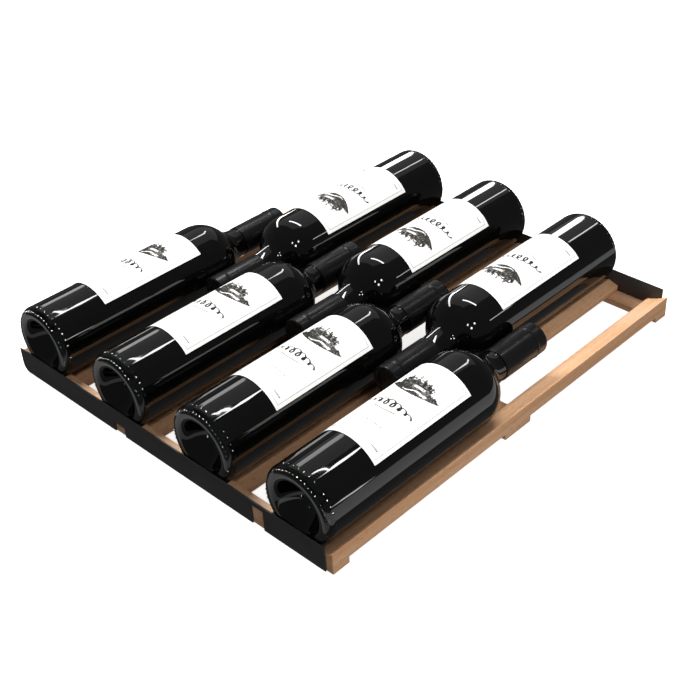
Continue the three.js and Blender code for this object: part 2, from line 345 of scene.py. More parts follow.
def printing_ink(name, colour, thin_code):
    """Offset ink on uncoated paper: matt, and a little paler where it lies thin."""
    material, tree, surface = new_material(
        name, **{"Base Color": tuple(colour), "Roughness": 0.6}
    )
    uneven = pattern(tree, stretched(tree, even_scale(1.5)), 0.3, 0.7)
    shade = mixed(tree, uneven, tuple(colour), from_hex(thin_code))
    tree.links.new(shade, surface.inputs["Base Color"])
    return material


def red_wine():
    """Still red wine: deep and clear, hidden by the glass."""
    finish = bpy.context.scene.shelf_finish
    material, tree, surface = new_material(
        "red_wine", **{"Base Color": tuple(finish.wine), "Roughness": 0.05, "IOR": 1.34}
    )
    depth = pattern(tree, stretched(tree, even_scale(30)), 0.3, 0.7)
    shade = mixed(tree, depth, tuple(finish.wine), from_hex("#24040A"))
    tree.links.new(shade, surface.inputs["Base Color"])
    return material


def natural_cork():
    """Punched cork: warm tan with dark pores a millimetre or two long."""
    finish = bpy.context.scene.shelf_finish
    material, tree, surface = new_material(
        "natural_cork", **{"Base Color": tuple(finish.cork), "Roughness": 0.85}
    )
    pores = pattern(tree, stretched(tree, even_scale(1.5)), 0.56, 0.68)
    shade = mixed(tree, pores, tuple(finish.cork), from_hex("#6E4A2C"))
    tree.links.new(shade, surface.inputs["Base Color"])
    tree.links.new(bumped(tree, pores, -0.2 * MM), surface.inputs["Normal"])
    return material


def zinc_plate():
    """Bright zinc on a steel screw: blue-grey with a brushed, cloudy sheen."""
    finish = bpy.context.scene.shelf_finish
    material, tree, surface = new_material(
        "zinc_plated_steel",
        **{"Base Color": tuple(finish.zinc), "Metallic": 1.0, "Roughness": 0.3},
    )
    cloud = pattern(tree, stretched(tree, even_scale(2)), 0.3, 0.7)
    rough = add(tree, "ShaderNodeMapRange", {"Value": cloud, "To Min": 0.24, "To Max": 0.42})
    tree.links.new(rough.outputs["Result"], surface.inputs["Roughness"])
    return material


def studio_floor():
    """Opal acrylic floor, matt, pale, and lit from below so that shadows stay faint."""
    studio = bpy.context.scene.shelf_studio
    material, _, surface = new_material(
        "opal_studio_floor", **{"Base Color": tuple(studio.floor), "Roughness": 0.8}
    )
    surface.inputs["Specular IOR Level"].default_value = 0.1
    surface.inputs["Emission Color"].default_value = tuple(studio.floor)
    surface.inputs["Emission Strength"].default_value = studio.floor_glow
    return material


def paint(piece, material):
    """Gives a piece one material."""
    piece.data.materials.clear()
    piece.data.materials.append(material)


# ------------------------------------------------------------------ modelling helpers


def deselect():
    bpy.ops.object.select_all(action="DESELECT")


def only(piece):
    """Makes one piece the active and only selected one."""
    deselect()
    piece.select_set(True)
    bpy.context.view_layer.objects.active = piece


def apply_modifier(piece, kind, **settings):
    """Adds a modifier to a piece and applies it."""
    only(piece)
    modifier = piece.modifiers.new(kind.lower(), kind)
    for name, value in settings.items():
        setattr(modifier, name, value)
    bpy.ops.object.modifier_apply(modifier=modifier.name)


def smooth(piece, degrees):
    only(piece)
    bpy.ops.object.shade_smooth_by_angle(angle=math.radians(degrees))


def place(piece, matrix):
    """Moves a piece and puts the move into its mesh."""
    only(piece)
    piece.matrix_world = matrix
    bpy.ops.object.transform_apply(location=True, rotation=True, scale=True)


def join(pieces, name):
    """Joins pieces into one."""
    deselect()
    for piece in pieces:
        piece.select_set(True)
    bpy.context.view_layer.objects.active = pieces[0]
    bpy.ops.object.join()
    pieces[0].name = name
    return pieces[0]


def duplicate(piece, name):
    """A copy of a piece with a mesh of its own."""
    made = bpy.data.objects.new(name, piece.data.copy())
    bpy.context.scene.collection.objects.link(made)
    return made


def milled_copy(node, name, edge):
    """A merged copy of a CAD piece with its sharp edges eased."""
    piece = duplicate(frame["nodes"][node], name)
    only(piece)
    bpy.ops.object.mode_set(mode="EDIT")
    bpy.ops.mesh.select_all(action="SELECT")
    bpy.ops.mesh.remove_doubles(threshold=0.00001)
    bpy.ops.mesh.dissolve_limited(angle_limit=math.radians(0.5))
    bpy.ops.object.mode_set(mode="OBJECT")
    apply_modifier(
        piece, "BEVEL", width=edge, segments=2, limit_method="ANGLE", angle_limit=math.radians(30)
    )
    smooth(piece, 32)
    return piece


def turned(name, outline, segments):
    """A piece turned round the Y axis, from an outline of (radius, distance) points in
    millimetres that starts and ends on the axis."""
    deselect()
    bpy.ops.mesh.primitive_plane_add(size=MM)
    piece = bpy.context.object
    piece.name = name
    bpy.ops.object.mode_set(mode="EDIT")
    bpy.ops.mesh.select_all(action="SELECT")
    bpy.ops.mesh.merge(type="CENTER")
    points = [Vector((radius * MM, distance * MM, 0)) for radius, distance in outline]
    bpy.ops.transform.translate(value=points[0])
    for last, point in zip(points, points[1:]):
        bpy.ops.mesh.extrude_vertices_move(TRANSFORM_OT_translate={"value": point - last})
    bpy.ops.mesh.select_all(action="SELECT")
    bpy.ops.mesh.spin(steps=segments, angle=math.tau, center=(0, 0, 0), axis=(0, 1, 0))
    bpy.ops.mesh.select_all(action="SELECT")
    bpy.ops.mesh.remove_doubles(threshold=0.000002)
    bpy.ops.mesh.normals_make_consistent(inside=False)
    bpy.ops.object.mode_set(mode="OBJECT")
    return piece


# ------------------------------------------------------------------ where the bottles lie


def bottle_place(bottle):
    """The matrix that takes a bottle made round +Y, base at the origin, to its cradle."""
    body_low, body_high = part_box(f"{bottle}_glass_body")
    neck_low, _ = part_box(f"{bottle}_glass_neck")
    middle = (body_low + body_high) / 2
    points_back = neck_low.y > body_low.y
    base = body_low.y if points_back else body_high.y
    turn = Matrix.Identity(4) if points_back else Matrix.Rotation(math.pi, 4, "Z")
    return Matrix.Translation((middle.x, base, middle.z)) @ turn


def label_roll(bottle):
    """How far a label's middle is rolled off the top of its bottle, from the CAD label."""
    into_bottle = bottle_place(bottle).inverted()
    corners = [into_bottle @ v.co for v in frame["nodes"][f"{bottle}_label"].data.vertices]
    middle = sum(corners, Vector()) / len(corners)
    return math.atan2(middle.x, middle.z)


# A 75 cl Bordeaux bottle in millimetres, with the same sizes as its CAD model. Distances are
# from the plane that the base stands on.
RADIUS = 37.5
LENGTH = 308
WALL = 3.2
HEEL_RADIUS = 7
PUNT_DEPTH = 22
PUNT_RIM = 26.5
BODY_END = 200
SHOULDER_RADIUS = 33
SHOULDER_TURN = 56  # degrees, from the side of the body to the hip below the neck
NECK_RADIUS = 14.4
NECK_START = 254
BORE_RADIUS = 9.5
CAPSULE_START = 250
CAPSULE_GAP = 0.7
CAPSULE_WALL = 0.5
# rings that part the long straight wall, so that a reflection runs straight along it
WALL_RINGS = (7.6, 70, 135, BODY_END - 0.6)


def glass_outline():
    """From the middle of the punt, out over the heel, up to the mouth, and back inside."""
    punt_wall = (22.5, 5)
    heel = arc((RADIUS - HEEL_RADIUS, HEEL_RADIUS), HEEL_RADIUS, -78, 0, 8)
    shoulder_middle = (RADIUS - SHOULDER_RADIUS, BODY_END)
    shoulder = arc(shoulder_middle, SHOULDER_RADIUS, 0, SHOULDER_TURN, 14)
    hip = shoulder[-1]
    lean = math.radians(SHOULDER_TURN)
    pull = (hip[0] - math.sin(lean) * 7, hip[1] + math.cos(lean) * 7)
    inner = RADIUS - WALL
    lip = 1.2
    return [
        (0, PUNT_DEPTH),
        *sweep((0, PUNT_DEPTH), (11, PUNT_DEPTH), (19, 12), punt_wall, 9),
        *sweep(punt_wall, (24, 2), (25, 0.9), (PUNT_RIM + 1, 0.25), 4),
        *heel,
        *((RADIUS, distance) for distance in WALL_RINGS),
        *shoulder,
        *sweep(hip, pull, (NECK_RADIUS + 0.4, 238), (NECK_RADIUS + 0.3, NECK_START), 9),
        (NECK_RADIUS, LENGTH - 24),
        (NECK_RADIUS, LENGTH - 2),
        (NECK_RADIUS, LENGTH - lip),
        *arc((NECK_RADIUS - lip, LENGTH - lip), lip, 30, 90, 3),
        (BORE_RADIUS, LENGTH),
        (BORE_RADIUS, 247),
        *arc(shoulder_middle, SHOULDER_RADIUS - WALL, SHOULDER_TURN, 0, 10),
        (inner, 12),
        (inner - 6, 6.5),
        (22, 10.5),
        (10, PUNT_DEPTH + 2.5),
        (0, PUNT_DEPTH + 3.5),
    ]


def capsule_outline():
    """A thin cup over the neck, with a bead where the bottle's ring shows through it."""
    inner = NECK_RADIUS + CAPSULE_GAP
    outer = inner + CAPSULE_WALL
    hem = CAPSULE_WALL / 2
    top = outer + 0.1
    end = LENGTH + CAPSULE_GAP
    bead = LENGTH - 12
    corner = 1.4
    return [
        (0, LENGTH + 0.2),
        (inner, LENGTH + 0.2),
        (inner, CAPSULE_START),
        *arc((inner + hem, CAPSULE_START), hem, 180, 360, 4),
        (outer, CAPSULE_START + 0.4),
        (outer, bead - 3.6),
        (outer, bead - 3.2),
        (outer + 0.05, bead - 1.4),
        *arc((outer - 0.25, bead), 0.75, -50, 50, 5),
        (top, bead + 1.6),
        (top, bead + 2.0),
        (top, end - corner - 0.4),
        (top, end - corner),
        *arc((top - corner, end - corner), corner, 20, 90, 5),
        (outer - 3.2, end),
        (outer - 3.6, end - 0.25),
        (outer - 4.4, end - 0.25),
        (outer - 4.8, end),
        (0, end),
    ]


def mould_marks(settings):
    """Small raised dots that the mould leaves: knurls round the bearing ring of the base,
    code dots round the heel, and a few inside the punt."""
    rings = (
        # count, distance from the axis, distance from the base, usual radius
        (settings.heel_knurls, RADIUS - 3.1, 1.5, 0.85),
        (settings.heel_dots, RADIUS - 0.45, 7.4, 0.85),
        (settings.punt_dots, 12.5, 18.6, 1.6),
    )
    draw = random.Random(3)
    dots = []
    for count, out, up, size in rings:
        for step in range(count):
            turn = math.tau * step / count
            bottle_rests_here = math.sin(turn) < -0.3
            if out > PUNT_RIM and bottle_rests_here:
                continue
            deselect()
            bpy.ops.mesh.primitive_ico_sphere_add(
                subdivisions=2,
                radius=size * draw.uniform(0.55, 1.15) * MM,
                location=(out * math.cos(turn) * MM, up * MM, out * math.sin(turn) * MM),
            )
            dots.append(bpy.context.object)
    marks = join(dots, "mould_marks")
    bpy.ops.object.transform_apply(location=True, rotation=True, scale=True)
    return marks


# ------------------------------------------------------------------ label artwork
# Drawn flat and standing: X runs round the bottle, Z along it from the label's foot, and the
# paper's face looks towards -Y. Millimetres.

LABEL_FOOT = 60.5
LABEL_LENGTH = 119
LABEL_WIDTH = 69.4
LABEL_THICKNESS = 0.25
INK_THICKNESS = 0.09
WASH_THICKNESS = 0.05
INK_ROOT = 0.04  # how deep a bar of ink reaches into the paper, so that it never floats
PAPER_FACE = -LABEL_THICKNESS


def open_sheet(name):
    """An empty mesh piece, open in edit mode, for marks to be added to."""
    deselect()
    bpy.ops.mesh.primitive_plane_add(size=MM)
    sheet = bpy.context.object
    sheet.name = name
    bpy.ops.object.mode_set(mode="EDIT")
    bpy.ops.mesh.select_all(action="SELECT")
    bpy.ops.mesh.delete(type="VERT")
    return sheet


def mark(x, z, width, height, lean=0.0, thickness=INK_THICKNESS):
    """Adds one small flat bar of ink, centred at x and z, leaning by degrees."""
    bpy.ops.mesh.primitive_cube_add(
        size=1,
        location=(x * MM, (PAPER_FACE + (INK_ROOT - thickness) / 2) * MM, z * MM),
        rotation=(0, math.radians(lean), 0),
        scale=(width * MM, (thickness + INK_ROOT) * MM, height * MM),
    )


# the engraving: a shallow bowl of ground up to a horizon, with a house on it
BOWL_REACH = 25.5
BOWL_FOOT = 72.8
BOWL_DEPTH = 10.8
HORIZON = 84.2
FIRST_ROW = 73.2
HOUSE_LEFT = -2.2
HOUSE_RIGHT = 9.6
WALL_FOOT = 82.3
EAVES = 85.8


def bowl_floor(x):
    """Lower edge of the engraved vignette, which is a shallow bowl."""
    return BOWL_FOOT + BOWL_DEPTH * (x / BOWL_REACH) ** 2


def is_pale(x, z):
    """Where the paper shows: a lane that winds up to the house, and the house's wall."""
    wall = HOUSE_LEFT - 0.2 < x < HOUSE_RIGHT + 0.2 and WALL_FOOT < z < EAVES
    lane_middle = 77.2 + 0.16 * x + 0.9 * math.sin(x / 2.6)
    lane = -9 < x < 15 and abs(z - lane_middle) < 0.35 + 0.045 * (x + 9)
    return wall or lane


def vignette_wash():
    """The grey tint behind the engraving: the bowl of ground and the wood above it."""
    sheet = open_sheet("label_wash")
    pitch = 0.7
    for row in range(26):
        z = FIRST_ROW + row * pitch
        above = z - HORIZON
        if above < 0:
            reach = BOWL_REACH * math.sqrt(min(1, (z - BOWL_FOOT) / BOWL_DEPTH))
            left, right = -reach, reach
        else:
            left, right = -18.5 + above * 0.7, 16.5 - above * 1.2
        steps = max(1, round((right - left) / 1.1))
        width = (right - left) / steps
        for step in range(steps):
            x = left + width * (step + 0.5)
            if not is_pale(x, z):
                mark(x, z, width + 0.02, pitch + 0.02, thickness=WASH_THICKNESS)
    bpy.ops.object.mode_set(mode="OBJECT")
    return sheet


def engrave_ground(draw):
    """Broken level lines that fill the bowl of the vignette, closer where it is darker."""
    for row in range(18):
        z = FIRST_ROW + row * 0.68
        x = -BOWL_REACH
        while x < BOWL_REACH:
            run = draw.uniform(0.9, 1.8)
            middle = x + run / 2
            inside = z > bowl_floor(middle) and z < HORIZON + 0.3 + draw.uniform(-0.8, 0.8)
            pale = is_pale(middle, z)
            near_left = middle < -4
            share = 0.05 if pale else 0.96 if near_left or z < 76.5 else 0.66
            if inside and draw.random() < share:
                mark(middle, z, run, draw.uniform(0.2, 0.3) if pale else draw.uniform(0.5, 0.72))
            x += run * draw.uniform(0.95, 1.15)


def engrave_tree(draw, x, foot, width, height, leaves):
    """A clump of short leaning strokes in an egg shape."""
    for _ in range(leaves):
        turn = draw.uniform(0, math.tau)
        reach = math.sqrt(draw.random())
        across = x + math.cos(turn) * reach * width / 2
        up = foot + height / 2 + math.sin(turn) * reach * height / 2
        mark(across, up, draw.uniform(0.5, 0.85), draw.uniform(1.0, 2.0), draw.uniform(-50, 50))


def engrave_trees(draw):
    """The wood behind the house: round crowns, with a few thin poplars above them."""
    crowns = [
        # across, foot, width, height, strokes
        (-15, 83, 7, 11, 74),
        (-10.5, 84, 8, 11, 74),
        (-5, 85, 8, 9.5, 62),
        (1, 86, 9, 8.5, 58),
        (7, 86, 9, 7.5, 52),
        (12.5, 85.5, 8, 7.5, 42),
        (20.6, 82, 3.6, 3.6, 20),
    ]
    for crown in crowns:
        engrave_tree(draw, *crown)
    poplars = [
        # across, foot, width, height, strokes
        (-12.5, 92, 1.6, 6.5, 12),
        (-4.2, 92, 1.5, 6.8, 12),
        (1.8, 92, 1.3, 5, 9),
        (8.4, 91, 1.2, 4.5, 8),
    ]
    for poplar in poplars:
        engrave_tree(draw, *poplar)


def engrave_house():
    """A plain long farmhouse: walls left as paper, with a dark roof and windows."""
    for step in range(9):
        mark(HOUSE_LEFT + 0.6 + step * 1.3, EAVES + 0.7, 1.35, 1.6)
    for step in range(5):
        mark(step * 1.9, HORIZON, 0.7, 1.3)
    for corner in (HOUSE_LEFT, HOUSE_RIGHT):
        mark(corner, 84, 0.4, 3.4)


SCROLL_MIDDLE = -1.5


def scroll_path():
    """A printer's scroll: a run of pen loops, tall in the middle and dying away to both ends.
    It spells nothing."""
    points = []
    for i in range(181):
        t = i / 90 - 1
        turn = math.tau * 3.5 * t
        swell = 1 - 0.75 * abs(t)
        across = SCROLL_MIDDLE + 24 * t + 3.4 * swell * math.sin(turn)
        points.append((across, 53.5 + 4.6 * swell * math.cos(turn)))
    return points


def bow_path():
    """The shallow bow under the scroll."""
    points = []
    for i in range(25):
        t = i / 12 - 1
        points.append((SCROLL_MIDDLE + 11 * t, 45.6 - 1.8 * (1 - t * t)))
    return points


def pen_stroke(path, thin, thick):
    """A run of short bars along a path, thicker where the pen travels down the paper."""
    for (x0, z0), (x1, z1) in zip(path, path[1:]):
        run = math.hypot(x1 - x0, z1 - z0)
        if run == 0:
            continue
        steep = abs(z1 - z0) / run
        lean = -math.degrees(math.atan2(z1 - z0, x1 - x0))
        mark((x0 + x1) / 2, (z0 + z1) / 2, run + 0.15, thin + (thick - thin) * steep**1.5, lean)


def border_dots():
    """A dotted rule just inside the edge of the label."""
    inset = 3.6
    across = LABEL_WIDTH / 2 - inset
    count_up = 84
    count_across = 46
    for i in range(count_up + 1):
        z = inset + (LABEL_LENGTH - 2 * inset) * i / count_up
        for x in (-across, across):
            mark(x, z, 0.45, 0.8)
    for i in range(1, count_across):
        x = -across + 2 * across * i / count_across
        for z in (inset, LABEL_LENGTH - inset):
            mark(x, z, 0.8, 0.45)


def small_print(draw):
    """Bars that stand for small print: two lines under the scroll and one in each corner."""
    rows = [
        # start, end, place along the label, height
        (-9, 12, 26, 0.9),
        (-5, 8, 21, 0.7),
        (-27.5, -21.2, 8.6, 1.7),
        (19, 27, 8.6, 1.7),
    ]
    for start, end, z, height in rows:
        x = start
        while x < end:
            run = draw.uniform(0.5, 1.2)
            mark(x + run / 2, z, run, height * draw.uniform(0.75, 1.0))
            x += run + draw.uniform(0.35, 0.7)


def flat_artwork():
    """The whole print of a label, flat."""
    draw = random.Random(11)
    sheet = open_sheet("label_artwork")
    engrave_ground(draw)
    engrave_trees(draw)
    engrave_house()
    pen_stroke(scroll_path(), 0.8, 1.9)
    pen_stroke(bow_path(), 0.7, 1.3)
    border_dots()
    small_print(draw)
    bpy.ops.object.mode_set(mode="OBJECT")
    return sheet


def flat_paper():
    """The label's paper, flat, standing on its foot with its back at y = 0."""
    deselect()
    bpy.ops.mesh.primitive_grid_add(
        x_subdivisions=60,
        y_subdivisions=2,
        size=1,
        location=(0, PAPER_FACE * MM, LABEL_LENGTH / 2 * MM),
        rotation=(math.pi / 2, 0, 0),
    )
    sheet = bpy.context.object
    sheet.name = "label_paper"
    bpy.ops.transform.resize(value=(LABEL_WIDTH * MM, 1, LABEL_LENGTH * MM))
    bpy.ops.object.transform_apply(location=True, rotation=True, scale=True)
    apply_modifier(sheet, "SOLIDIFY", thickness=LABEL_THICKNESS * MM, offset=-1)
    return sheet


def wrap(sheet, radius):
    """Bends a standing sheet into an arc whose middle touches the origin's XZ plane."""
    across = [v.co.x for v in sheet.data.vertices]
    width = max(across) - min(across)
    apply_modifier(
        sheet,
        "SIMPLE_DEFORM",
        deform_method="BEND",
        deform_axis="Z",
        angle=width / (radius * MM),
    )


# ------------------------------------------------------------------ wood, metal and bottles


class WINESHELF_OT_mill_wood(bpy.types.Operator):
    """Mills the rails, bars, slats and front board in oiled beech"""

    bl_idname = "wineshelf.mill_wood"
    bl_label = "Mill the wood"

    def execute(self, context):
        edge = context.scene.shelf_finish.wood_edge
        lengthwise = oiled_beech("oiled_beech_lengthwise", "Y")
        crosswise = oiled_beech("oiled_beech_crosswise", "X")
        for node in sorted(frame["nodes"]):
            if "rail" in node or "bar" in node:
                material = lengthwise
            elif "slat" in node or "board" in node:
                material = crosswise
            else:
                continue
            piece = milled_copy(node, f"{node}_eased", edge)
            paint(piece, material)
            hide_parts(node)
            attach(piece, SHELF_BODY)
        return {"FINISHED"}


class WINESHELF_OT_fold_metal(bpy.types.Operator):
    """Makes the front trim and the rear stop in powder-coated steel"""

    bl_idname = "wineshelf.fold_metal"
    bl_label = "Make the trim and the stop"

    def execute(self, context):
        material = powder_coated_steel()
        for node in ("front_trim", "rear_stop"):
            piece = milled_copy(node, f"{node}_coated", context.scene.shelf_finish.metal_edge)
            paint(piece, material)
            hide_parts(node)
            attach(piece, SHELF_BODY)
        return {"FINISHED"}


def screw_outline(length):
    """A pan-head screw from its tip to the middle of its head."""
    shank, head, head_height = 1.6, 3.5, 1.8
    under_head = length - head_height
    return [
        (0, 0),
        (shank, 2.4),
        (shank, under_head),
        (head, under_head),
        (head, under_head + 0.7),
        *arc((1.9, under_head + 0.2), 1.6, 20, 90, 4),
        (0, length),
    ]


def cut_cross(screw, length):
    """Cuts a cross recess into the end of a screw's head."""
    for turn in (0, math.pi / 2):
        deselect()
        bpy.ops.mesh.primitive_cube_add(
            size=1,
            location=(0, length * MM, 0),
            rotation=(0, turn, 0),
            scale=(3.6 * MM, 2.2 * MM, 0.7 * MM),
        )
        cutter = bpy.context.object
        bpy.ops.object.transform_apply(location=True, rotation=True, scale=True)
        apply_modifier(
            screw, "BOOLEAN", object=cutter, operation="DIFFERENCE", solver="EXACT"
        )
        bpy.data.objects.remove(cutter)


class WINESHELF_OT_drive_screws(bpy.types.Operator):
    """Turns the pan-head screws of the rear stop, with their cross recess"""

    bl_idname = "wineshelf.drive_screws"
    bl_label = "Drive the screws"

    def execute(self, context):
        material = zinc_plate()
        nodes = sorted(node for node in frame["nodes"] if "screw" in node)
        low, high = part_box(nodes[0])
        length = (high.y - low.y) / MM
        pattern_screw = turned("screw_pattern", screw_outline(length), 32)
        cut_cross(pattern_screw, length)
        for node in nodes:
            low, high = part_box(node)
            middle = (low + high) / 2
            piece = duplicate(pattern_screw, f"{node}_turned")
            place(piece, Matrix.Translation((middle.x, low.y, middle.z)))
            smooth(piece, 30)
            paint(piece, material)
            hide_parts(node)
            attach(piece, SHELF_BODY)
        bpy.data.objects.remove(pattern_screw)
        return {"FINISHED"}


class WINESHELF_OT_blow_bottles(bpy.types.Operator):
    """Turns the glass of the seven bottles, and fills and corks them"""

    bl_idname = "wineshelf.blow_bottles"
    bl_label = "Blow the bottles"

    def execute(self, context):
        glass = bottle_glass("antique_green_bottle_glass", 0.03)
        pressed = bottle_glass("pressed_bottle_glass", 0.16)
        wine, cork = red_wine(), natural_cork()
        settings = context.scene.shelf_bottles
        pattern_bottle = turned("bottle_pattern", glass_outline(), settings.segments)
        pattern_marks = mould_marks(settings)
        for bottle in BOTTLES:
            piece = duplicate(pattern_bottle, f"{bottle}_glass")
            place(piece, bottle_place(bottle))
            smooth(piece, 38)
            paint(piece, glass)
            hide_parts(f"{bottle}_glass_body", f"{bottle}_glass_neck")
            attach(piece, bottle)
            dots = duplicate(pattern_marks, f"{bottle}_mould_marks")
            place(dots, bottle_place(bottle))
            smooth(dots, 60)
            paint(dots, pressed)
            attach(dots, bottle)
            paint(frame["nodes"][f"{bottle}_wine"], wine)
            paint(frame["nodes"][f"{bottle}_cork"], cork)
        bpy.data.objects.remove(pattern_bottle)
        bpy.data.objects.remove(pattern_marks)
        return {"FINISHED"}


class WINESHELF_OT_shrink_capsules(bpy.types.Operator):
    """Turns the black capsules over the necks"""

    bl_idname = "wineshelf.shrink_capsules"
    bl_label = "Shrink the capsules"

    def execute(self, context):
        foil = capsule_foil()
        pattern_capsule = turned(
            "capsule_pattern", capsule_outline(), context.scene.shelf_bottles.segments
        )
        for bottle in BOTTLES:
            piece = duplicate(pattern_capsule, f"{bottle}_foil")
            place(piece, bottle_place(bottle))
            smooth(piece, 38)
            paint(piece, foil)
            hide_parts(f"{bottle}_capsule")
            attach(piece, bottle)
        bpy.data.objects.remove(pattern_capsule)
        return {"FINISHED"}


class WINESHELF_OT_paste_labels(bpy.types.Operator):
    """Bends the printed labels round the bottles"""

    bl_idname = "wineshelf.paste_labels"
    bl_label = "Paste the labels"

    def execute(self, context):
        paper = label_paper()
        ink = printing_ink("charcoal_printing_ink", context.scene.shelf_finish.ink, "#353432")
        wash = printing_ink("grey_printing_ink", context.scene.shelf_finish.wash, "#8A8782")
        back_radius = RADIUS + 0.08
        sheets = (
            ("paper", flat_paper(), paper, True),
            ("wash", vignette_wash(), wash, False),
            ("print", flat_artwork(), ink, False),
        )
        for part, sheet, material, stands_for_label in sheets:
            wrap(sheet, back_radius)
            top = Matrix.Translation((0, LABEL_FOOT * MM, back_radius * MM))
            place(sheet, top @ Matrix.Rotation(-math.pi / 2, 4, "X"))
            for bottle in BOTTLES:
                piece = duplicate(sheet, f"{bottle}_label_{part}")
                roll = Matrix.Rotation(label_roll(bottle), 4, "Y")
                place(piece, bottle_place(bottle) @ roll)
                smooth(piece, 30)
                paint(piece, material)
                if stands_for_label:
                    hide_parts(f"{bottle}_label")
                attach(piece, bottle)
            bpy.data.objects.remove(sheet)
        return {"FINISHED"}


# ------------------------------------------------------------------ stage and lights


def hang(name, location, toward, along, size, energy):
    """Hangs a rectangular area light with its long side along a direction."""
    data = bpy.data.lights.new(name, "AREA")
    data.shape = "RECTANGLE"
    data.size, data.size_y = size
    data.energy = energy
    light = bpy.data.objects.new(name, data)
    bpy.context.scene.collection.objects.link(light)
    out = (Vector(location) - Vector(toward)).normalized()
    along = (Vector(along) - out * out.dot(Vector(along))).normalized()
    turn = Matrix((along, out.cross(along), out)).transposed()
    light.matrix_world = Matrix.Translation(location) @ turn.to_4x4()
    light.visible_camera = False
    return light


def reach_only(light, pieces):
    """Lets a light reach only some pieces. Lights with the same pieces share one collection,
    because a scene may have no more than 64 of them."""
    name = f"lit_{pieces[0].name}_and_{len(pieces) - 1}_more"
    reached = bpy.data.collections.get(name)
    if reached is None:
        reached = bpy.data.collections.new(name)
        for piece in pieces:
            reached.objects.link(piece)
    light.light_linking.receiver_collection = reached


def surface_point(bottle, roll, distance):
    """A point on a bottle and its normal: the roll is in degrees from the top towards the
    right, the distance is from the base in millimetres."""
    lie = bottle_place(bottle)
    axis = (lie.to_3x3() @ Vector((0, 1, 0))).normalized()
    outward = Vector((math.sin(math.radians(roll)), 0, math.cos(math.radians(roll))))
    lean, radius = 0.0, RADIUS
    if distance > CAPSULE_START:
        radius = NECK_RADIUS + CAPSULE_GAP + CAPSULE_WALL
    elif distance > BODY_END:
        lean = math.asin((distance - BODY_END) / SHOULDER_RADIUS)
        radius = RADIUS - SHOULDER_RADIUS * (1 - math.cos(lean))
    normal = outward * math.cos(lean) + axis * math.sin(lean)
    return lie.translation + axis * distance * MM + outward * radius * MM, normal


def reflected_strip(bottle, part, start, end, width, brightness, name):
    """Hangs a strip light where the camera sees its reflection run over a bottle, from one
    roll and distance to another."""
    camera = bpy.context.scene.camera.location
    spots, ends = [], []
    for roll, distance in (start, end):
        spot, normal = surface_point(bottle, roll, distance)
        ray = (spot - camera).normalized()
        spots.append(spot)
        ends.append(spot + (ray - 2 * ray.dot(normal) * normal) * STRIP_REACH)
    length = (ends[1] - ends[0]).length
    light = hang(
        f"{bottle}_{name}",
        (ends[0] + ends[1]) / 2,
        (spots[0] + spots[1]) / 2,
        ends[1] - ends[0],
        (length, width),
        brightness * math.pi * length * width,
    )
    light.visible_diffuse = False
    reach_only(light, [bpy.data.objects[f"{bottle}_{part}"]])


CAMERA_PLACE = (0.71763, -0.70761, 0.70445)  # metres
CAMERA_TURN = (54.61, 2.422, 43.717)  # degrees
GLOSSY_SKY = 0.1  # strength of the sky where a gloss reflects it


def lay_floor():
    """A floor that the camera sees but that throws no light back at the shelf."""
    deselect()
    bpy.ops.mesh.primitive_plane_add(size=14)
    floor = bpy.context.object
    floor.name = "studio_floor"
    paint(floor, studio_floor())
    floor.visible_glossy = False
    floor.visible_diffuse = False


def hang_sky(studio):
    """A white sky: full white to the camera, dim as light and dimmer still in reflections."""
    world = bpy.data.worlds.new("studio")
    bpy.context.scene.world = world
    world.use_nodes = True
    tree = world.node_tree
    tree.nodes.clear()
    path = add(tree, "ShaderNodeLightPath")
    glossy = path.outputs["Is Glossy Ray"]
    strength = add(
        tree, "ShaderNodeMapRange", {"Value": glossy, "To Min": studio.fill, "To Max": GLOSSY_SKY}
    )
    seen = add(
        tree,
        "ShaderNodeMath",
        {0: path.outputs["Is Camera Ray"], 1: strength.outputs["Result"]},
        operation="MAXIMUM",
    )
    sky = add(
        tree, "ShaderNodeBackground", {"Color": from_hex("#FFFFFF"), "Strength": seen.outputs[0]}
    )
    output = add(tree, "ShaderNodeOutputWorld")
    tree.links.new(sky.outputs["Background"], output.inputs["Surface"])


def stand_camera(studio):
    """The camera, above the front right corner of the shelf."""
    data = bpy.data.cameras.new("camera")
    data.lens = studio.lens
    data.sensor_width = 36
    camera = bpy.data.objects.new("camera", data)
    bpy.context.scene.collection.objects.link(camera)
    camera.location = CAMERA_PLACE
    camera.rotation_euler = [math.radians(turn) for turn in CAMERA_TURN]
    bpy.context.scene.camera = camera


class WINESHELF_OT_set_stage(bpy.types.Operator):
    """Lays the floor, and sets the sky and the camera"""

    bl_idname = "wineshelf.set_stage"
    bl_label = "Set the stage"

    def execute(self, context):
        lay_floor()
        hang_sky(context.scene.shelf_studio)
        stand_camera(context.scene.shelf_studio)
        context.scene.view_settings.view_transform = "Standard"
        return {"FINISHED"}


